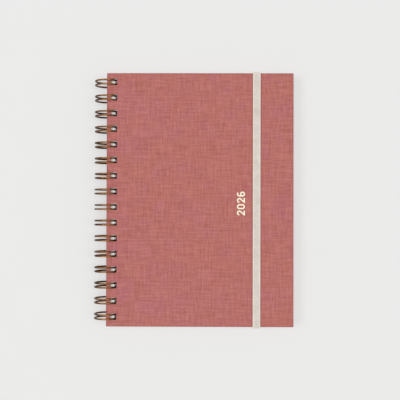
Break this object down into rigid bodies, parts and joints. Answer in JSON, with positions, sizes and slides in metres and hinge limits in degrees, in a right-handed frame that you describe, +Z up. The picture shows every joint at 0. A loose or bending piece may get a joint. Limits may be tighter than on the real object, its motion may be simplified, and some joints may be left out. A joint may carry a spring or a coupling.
{
  "type": "wire-bound hardcover planner",
  "caption": "Closed hardcover planner with cloth boards, loose leaves on a twin-loop wire, and an elastic band that holds it shut.",
  "frame": {"origin": "on the table, under the middle of the closed planner's box", "axes": "+X from the binding wire to the fore-edge, +Y from tail to head, +Z up from the table through the back cover to the front cover"},
  "size_m": [0.1624, 0.2074, 0.0198],
  "materials": {
    "book_cloth": "matte",
    "greyboard": "matte",
    "endpaper": "matte",
    "leaf_paper": "matte",
    "foil": "satin",
    "antique_brass_wire": "satin",
    "elastic": "matte"
  },
  "bodies": {
    "back_cover": {"back_cover_board": "greyboard", "back_cover_cloth": "book_cloth", "back_endpaper": "endpaper", "binding_wire": "antique_brass_wire"},
    "notes": {"notes_leaves": "leaf_paper"},
    "december": {"december_leaves": "leaf_paper"},
    "november": {"november_leaves": "leaf_paper"},
    "october": {"october_leaves": "leaf_paper"},
    "september": {"september_leaves": "leaf_paper"},
    "august": {"august_leaves": "leaf_paper"},
    "july": {"july_leaves": "leaf_paper"},
    "june": {"june_leaves": "leaf_paper"},
    "may": {"may_leaves": "leaf_paper"},
    "april": {"april_leaves": "leaf_paper"},
    "march": {"march_leaves": "leaf_paper"},
    "february": {"february_leaves": "leaf_paper"},
    "january": {"january_leaves": "leaf_paper"},
    "opening_leaves": {"title_leaf": "leaf_paper", "year_overview_leaf": "leaf_paper"},
    "front_cover": {"front_cover_board": "greyboard", "front_cover_cloth": "book_cloth", "front_endpaper": "endpaper", "year_foil": "foil"},
    "elastic_band": {"elastic_band": "elastic"}
  },
  "joints": [
    {"name": "notes_hinge", "type": "hinge", "parent": "back_cover", "child": "notes", "pos_m": [-0.07125, 0, 0.0099], "axis": [0, -1, 0], "range_deg": [0, 180]},
    {"name": "december_hinge", "type": "hinge", "parent": "notes", "child": "december", "pos_m": [-0.07125, 0, 0.0099], "axis": [0, -1, 0], "range_deg": [0, 180]},
    {"name": "november_hinge", "type": "hinge", "parent": "december", "child": "november", "pos_m": [-0.07125, 0, 0.0099], "axis": [0, -1, 0], "range_deg": [0, 180]},
    {"name": "october_hinge", "type": "hinge", "parent": "november", "child": "october", "pos_m": [-0.07125, 0, 0.0099], "axis": [0, -1, 0], "range_deg": [0, 180]},
    {"name": "september_hinge", "type": "hinge", "parent": "october", "child": "september", "pos_m": [-0.07125, 0, 0.0099], "axis": [0, -1, 0], "range_deg": [0, 180]},
    {"name": "august_hinge", "type": "hinge", "parent": "september", "child": "august", "pos_m": [-0.07125, 0, 0.0099], "axis": [0, -1, 0], "range_deg": [0, 180]},
    {"name": "july_hinge", "type": "hinge", "parent": "august", "child": "july", "pos_m": [-0.07125, 0, 0.0099], "axis": [0, -1, 0], "range_deg": [0, 180]},
    {"name": "june_hinge", "type": "hinge", "parent": "july", "child": "june", "pos_m": [-0.07125, 0, 0.0099], "axis": [0, -1, 0], "range_deg": [0, 180]},
    {"name": "may_hinge", "type": "hinge", "parent": "june", "child": "may", "pos_m": [-0.07125, 0, 0.0099], "axis": [0, -1, 0], "range_deg": [0, 180]},
    {"name": "april_hinge", "type": "hinge", "parent": "may", "child": "april", "pos_m": [-0.07125, 0, 0.0099], "axis": [0, -1, 0], "range_deg": [0, 180]},
    {"name": "march_hinge", "type": "hinge", "parent": "april", "child": "march", "pos_m": [-0.07125, 0, 0.0099], "axis": [0, -1, 0], "range_deg": [0, 180]},
    {"name": "february_hinge", "type": "hinge", "parent": "march", "child": "february", "pos_m": [-0.07125, 0, 0.0099], "axis": [0, -1, 0], "range_deg": [0, 180]},
    {"name": "january_hinge", "type": "hinge", "parent": "february", "child": "january", "pos_m": [-0.07125, 0, 0.0099], "axis": [0, -1, 0], "range_deg": [0, 180]},
    {"name": "opening_leaves_hinge", "type": "hinge", "parent": "january", "child": "opening_leaves", "pos_m": [-0.07125, 0, 0.0099], "axis": [0, -1, 0], "range_deg": [0, 180]},
    {"name": "front_cover_hinge", "type": "hinge", "parent": "opening_leaves", "child": "front_cover", "pos_m": [-0.07125, 0, 0.0099], "axis": [0, -1, 0], "range_deg": [0, 180]},
    {"name": "band_pull", "type": "slide", "parent": "back_cover", "child": "elastic_band", "axis": [1, 0, 0], "range_m": [0, 0.038], "stiffness_N_per_m": 150, "deforming": ["elastic_band"]}
  ]
}
